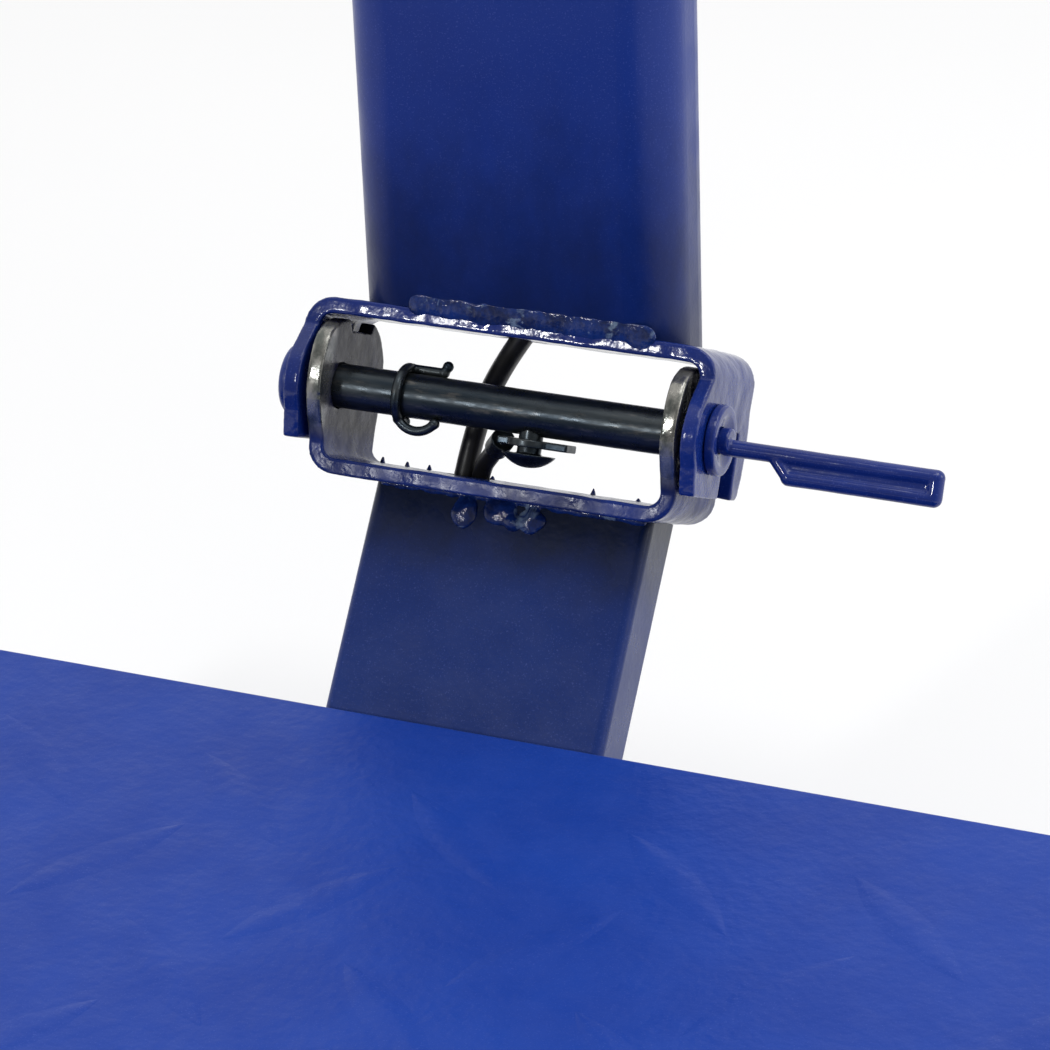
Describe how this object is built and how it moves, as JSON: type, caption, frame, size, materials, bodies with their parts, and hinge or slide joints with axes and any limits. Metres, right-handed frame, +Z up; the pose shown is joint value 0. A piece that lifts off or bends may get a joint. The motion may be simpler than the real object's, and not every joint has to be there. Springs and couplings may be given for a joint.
{
  "type": "folding column platform scale",
  "caption": "Low tread-plate platform on four levelling feet with a rear arm, a folding flat-oval column with a clamp lever, and a tilting indicator head.",
  "frame": {"origin": "on the floor under the middle of the whole object's outline", "axes": "+Z up, +Y to the rear where the column stands, +X to the right of a user facing the platform"},
  "size_m": [0.4, 0.5752, 0.8393],
  "materials": {
    "blue_paint": "semi-gloss powder coat with fine orange peel",
    "black_steel": "blackened oiled steel",
    "weld": "painted weld bead, rippled",
    "zinc_steel": "zinc plated",
    "aluminium": "milled",
    "rubber": "matte",
    "cable_jacket": "satin PVC",
    "black_plastic": "fine textured",
    "head_plastic": "fine textured",
    "key_plastic": "satin",
    "battery_case": "satin",
    "window": "clear",
    "display": "glass-faced display",
    "board": "green solder mask"
  },
  "bodies": {
    "base": {"base_frame": "blue_paint", "platform_frame": "blue_paint", "load_cell": "aluminium", "cell_spacer_lower": "zinc_steel", "cell_spacer_upper": "zinc_steel", "cell_bolts": "zinc_steel", "platform_cover": "blue_paint", "cover_pads": "rubber", "overload_stops": "zinc_steel", "arm_bolts": "zinc_steel", "foot_lock_nuts": "zinc_steel", "column_arm": "blue_paint", "lower_weld": "weld", "hinge_lower_bracket": "blue_paint", "hinge_shaft": "black_steel", "spring_clip": "black_steel", "lower_bush": "rubber", "earth_screw": "black_steel", "earth_lug": "black_steel", "earth_lead": "cable_jacket", "cable_arm": "cable_jacket"},
    "column": {"hinge_upper_bracket": "blue_paint", "upper_weld": "weld", "upper_bush": "rubber", "column_tube": "blue_paint", "column_cap": "black_plastic", "cable_column": "cable_jacket", "cable_hinge": "cable_jacket", "head_bracket": "blue_paint", "bracket_screws": "zinc_steel"},
    "lever": {"lever_boss": "blue_paint", "lock_lever": "blue_paint"},
    "head": {"indicator_front_case": "head_plastic", "indicator_rear_case": "head_plastic", "display_window": "window", "display_panel": "display", "circuit_board": "board", "key_mat": "rubber", "battery": "battery_case", "battery_cover": "head_plastic", "charge_socket": "black_plastic", "case_screws": "zinc_steel", "cable_gland": "black_plastic", "cable_head": "cable_jacket", "cable_tail": "cable_jacket"},
    "knob_left": {"tilt_knob_left": "black_plastic"},
    "knob_right": {"tilt_knob_right": "black_plastic"},
    "key_1": {"key_1": "key_plastic"},
    "key_2": {"key_2": "key_plastic"},
    "key_3": {"key_3": "key_plastic"},
    "key_4": {"key_4": "key_plastic"},
    "key_5": {"key_5": "key_plastic"},
    "foot_front_left": {"foot_front_left_pad": "rubber", "foot_front_left_stud": "zinc_steel"},
    "foot_front_right": {"foot_front_right_pad": "rubber", "foot_front_right_stud": "zinc_steel"},
    "foot_rear_left": {"foot_rear_left_pad": "rubber", "foot_rear_left_stud": "zinc_steel"},
    "foot_rear_right": {"foot_rear_right_pad": "rubber", "foot_rear_right_stud": "zinc_steel"}
  },
  "joints": [
    {"name": "column_fold", "type": "hinge", "parent": "base", "child": "column", "pos_m": [0, 0.25369, 0.1727], "axis": [1, 0, 0], "range_deg": [0, 90], "deforming": ["cable_hinge"]},
    {"name": "lever_turn", "type": "hinge", "parent": "base", "child": "lever", "pos_m": [0, 0.25369, 0.1727], "axis": [1, 0, 0], "range_deg": [-75, 60]},
    {"name": "head_tilt", "type": "hinge", "parent": "column", "child": "head", "pos_m": [0, 0.24869, 0.7867], "axis": [1, 0, 0], "range_deg": [-20, 35], "deforming": ["cable_head"]},
    {"name": "knob_left_turn", "type": "hinge", "parent": "head", "child": "knob_left", "pos_m": [-0.1, 0.24869, 0.7867], "axis": [1, 0, 0], "range_deg": [-90, 90]},
    {"name": "knob_right_turn", "type": "hinge", "parent": "head", "child": "knob_right", "pos_m": [0.1, 0.24869, 0.7867], "axis": [1, 0, 0], "range_deg": [-90, 90]},
    {"name": "key_1_press", "type": "slide", "parent": "head", "child": "key_1", "axis": [0, 0.9659, -0.2588], "range_m": [0, 0.0012], "stiffness_N_per_m": 900, "springref_m": -0.0003},
    {"name": "key_2_press", "type": "slide", "parent": "head", "child": "key_2", "axis": [0, 0.9659, -0.2588], "range_m": [0, 0.0012], "stiffness_N_per_m": 900, "springref_m": -0.0003},
    {"name": "key_3_press", "type": "slide", "parent": "head", "child": "key_3", "axis": [0, 0.9659, -0.2588], "range_m": [0, 0.0012], "stiffness_N_per_m": 900, "springref_m": -0.0003},
    {"name": "key_4_press", "type": "slide", "parent": "head", "child": "key_4", "axis": [0, 0.9659, -0.2588], "range_m": [0, 0.0012], "stiffness_N_per_m": 900, "springref_m": -0.0003},
    {"name": "key_5_press", "type": "slide", "parent": "head", "child": "key_5", "axis": [0, 0.9659, -0.2588], "range_m": [0, 0.0012], "stiffness_N_per_m": 900, "springref_m": -0.0003},
    {"name": "foot_front_left_turn", "type": "hinge", "parent": "base", "child": "foot_front_left", "pos_m": [-0.166, -0.25361, 0], "axis": [0, 0, 1], "range_deg": [-180, 180]},
    {"name": "foot_front_right_turn", "type": "hinge", "parent": "base", "child": "foot_front_right", "pos_m": [0.166, -0.25361, 0], "axis": [0, 0, 1], "range_deg": [-180, 180]},
    {"name": "foot_rear_left_turn", "type": "hinge", "parent": "base", "child": "foot_rear_left", "pos_m": [-0.166, 0.18039, 0], "axis": [0, 0, 1], "range_deg": [-180, 180]},
    {"name": "foot_rear_right_turn", "type": "hinge", "parent": "base", "child": "foot_rear_right", "pos_m": [0.166, 0.18039, 0], "axis": [0, 0, 1], "range_deg": [-180, 180]}
  ]
}
